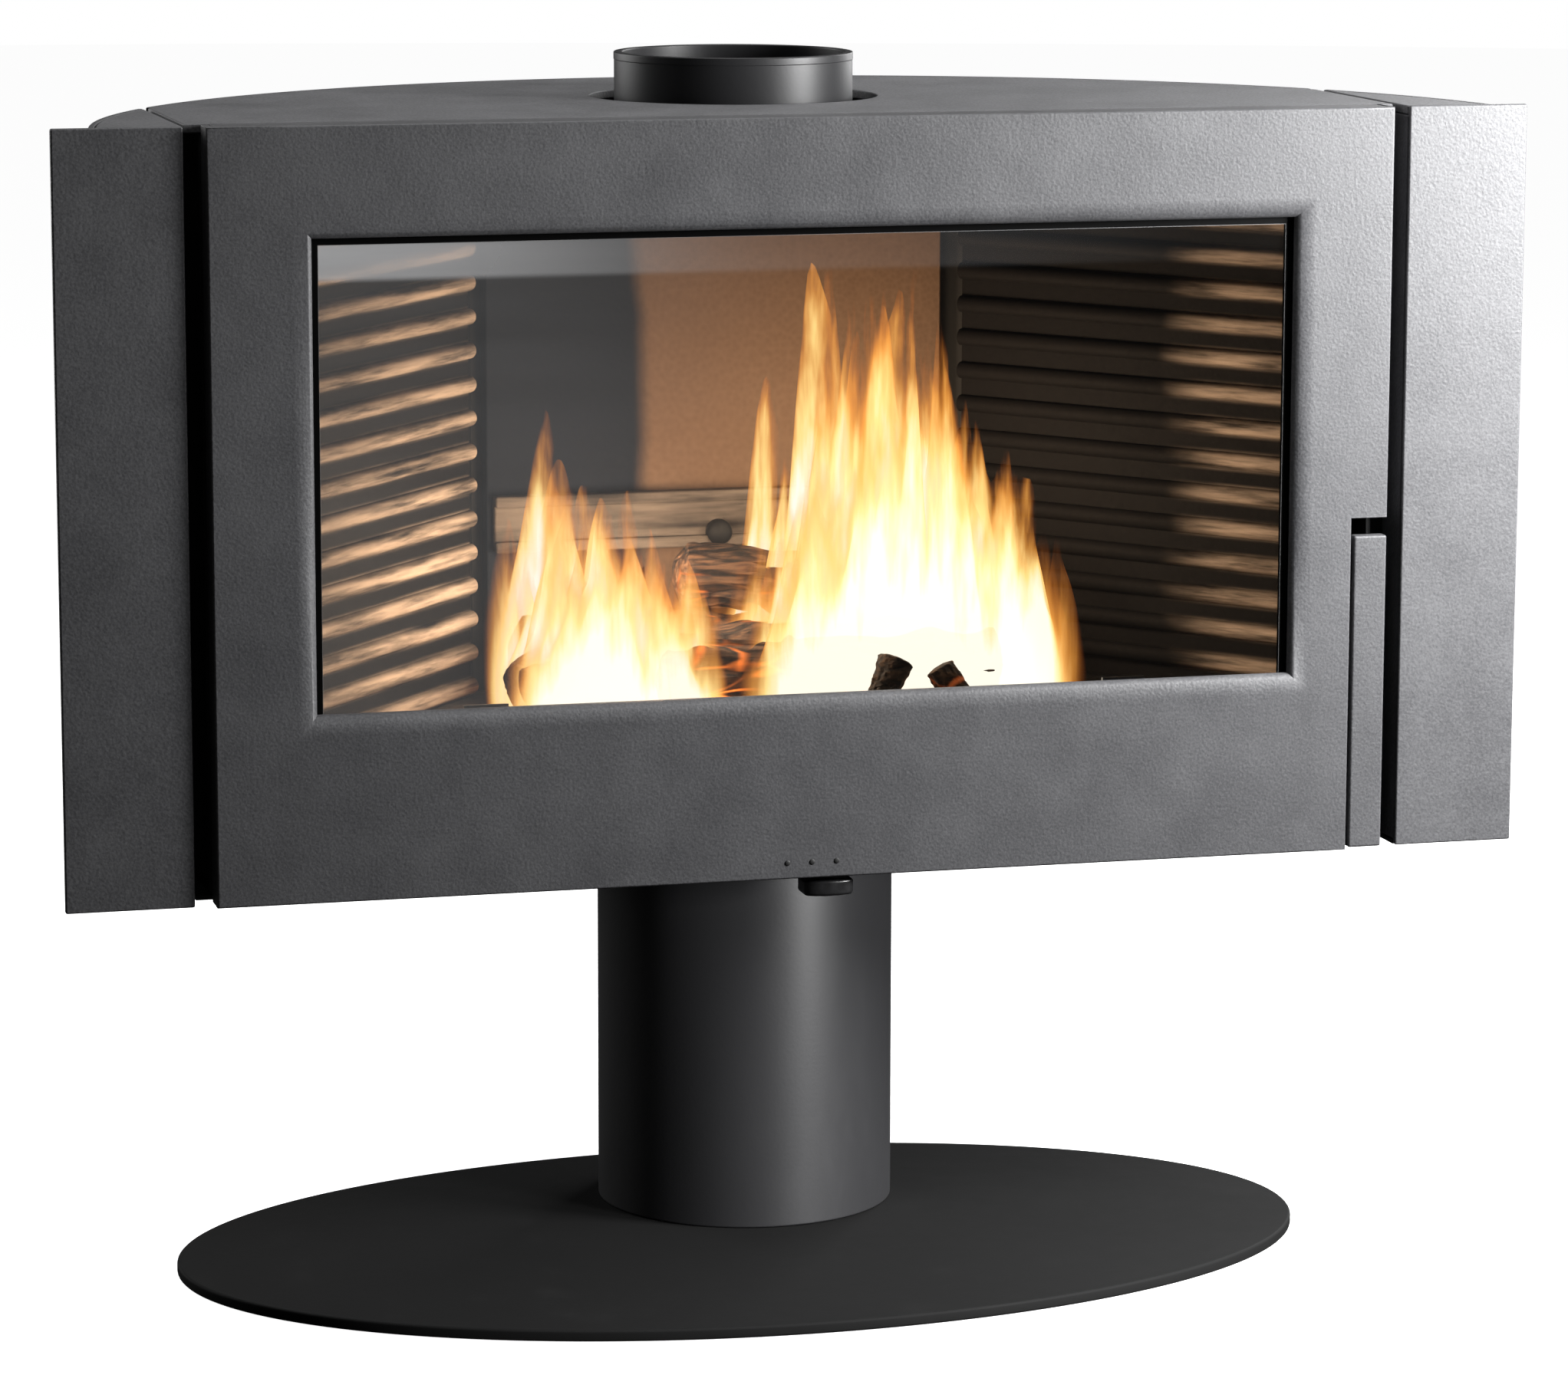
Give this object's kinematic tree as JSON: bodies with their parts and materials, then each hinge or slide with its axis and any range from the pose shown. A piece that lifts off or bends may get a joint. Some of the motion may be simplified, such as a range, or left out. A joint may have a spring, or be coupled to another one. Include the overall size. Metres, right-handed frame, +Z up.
{
  "type": "wood burning stove",
  "caption": "Wide pedestal wood-burning stove with a curved back, side-hinged glass door, fixed side wings, top flue collar and an oval floor plate.",
  "frame": {"origin": "on the floor, under the middle of the stove's overall box", "axes": "+X to the viewer's right along the stove's width, +Y from the door to the curved back, +Z up"},
  "size_m": [1, 0.57, 0.808],
  "materials": {
    "cast_paint": "fine-grained matte anthracite stove paint",
    "top_paint": "matte anthracite stove paint on cast plate",
    "satin_black": "satin black heat-proof paint",
    "base_black": "matte black powder paint",
    "black_steel": "matte black heat-proof paint",
    "cast_liner": "raw sooty cast iron",
    "fire_brick": "pressed vermiculite board, smoke stained",
    "bare_steel": "plain steel",
    "knob_black": "smooth black heat-proof plastic",
    "seal_rope": "braided glass-fibre rope",
    "fire_glass": "clear ceramic glass"
  },
  "bodies": {
    "root": {"air_bar": "cast_liner", "air_bar_bolt": "black_steel", "ash_pan": "bare_steel", "back_liner": "fire_brick", "base_plate": "base_black", "bottom_plate": "black_steel", "casing_back": "cast_paint", "firebox_back": "black_steel", "firebox_floor": "black_steel", "firebox_roof": "black_steel", "firebox_side_left": "black_steel", "firebox_side_right": "black_steel", "firebox_support_left": "black_steel", "firebox_support_right": "black_steel", "flue_collar": "satin_black", "foot_bolt_1": "bare_steel", "foot_bolt_2": "bare_steel", "foot_bolt_3": "bare_steel", "foot_bolt_4": "bare_steel", "front_frame": "black_steel", "grate": "cast_liner", "hearth": "cast_liner", "hinge_bracket_lower": "black_steel", "hinge_bracket_upper": "black_steel", "inner_side_left": "black_steel", "inner_side_right": "black_steel", "latch_keeper": "black_steel", "pedestal_foot_ring": "bare_steel", "pedestal_head_ring": "bare_steel", "pedestal_tube": "satin_black", "side_liner_left": "cast_liner", "side_liner_right": "cast_liner", "smoke_baffle": "cast_liner", "top_plate": "top_paint", "wing_bottom_left": "black_steel", "wing_bottom_right": "black_steel", "wing_front_left": "cast_paint", "wing_front_right": "cast_paint", "wing_side_left": "cast_paint", "wing_side_right": "cast_paint", "wing_top_left": "top_paint", "wing_top_right": "top_paint"},
    "door": {"door_panel": "cast_paint", "glass_tape": "seal_rope", "door_glass": "fire_glass", "glass_clip_upper_left": "bare_steel", "glass_clip_upper_right": "bare_steel", "glass_clip_lower_left": "bare_steel", "glass_clip_lower_right": "bare_steel", "door_rope": "seal_rope", "hinge_pin_upper": "bare_steel", "hinge_pin_lower": "bare_steel", "handle_lug": "black_steel", "handle_pivot_pin": "bare_steel"},
    "handle": {"handle_bar": "cast_paint", "latch_tongue": "black_steel"},
    "air_control": {"air_knob": "knob_black", "air_lever": "black_steel", "air_shutter": "bare_steel"}
  },
  "joints": [
    {"name": "door_hinge", "type": "hinge", "parent": "root", "child": "door", "pos_m": [-0.39, -0.121, 0.521], "axis": [0, 0, -1], "range_deg": [0, 95]},
    {"name": "handle_pivot", "type": "hinge", "parent": "door", "child": "handle", "pos_m": [0.388, -0.121, 0.478], "axis": [-1, 0, 0], "range_deg": [0, 35]},
    {"name": "air_slide", "type": "slide", "parent": "root", "child": "air_control", "axis": [1, 0, 0], "range_m": [-0.031, 0.006]}
  ]
}
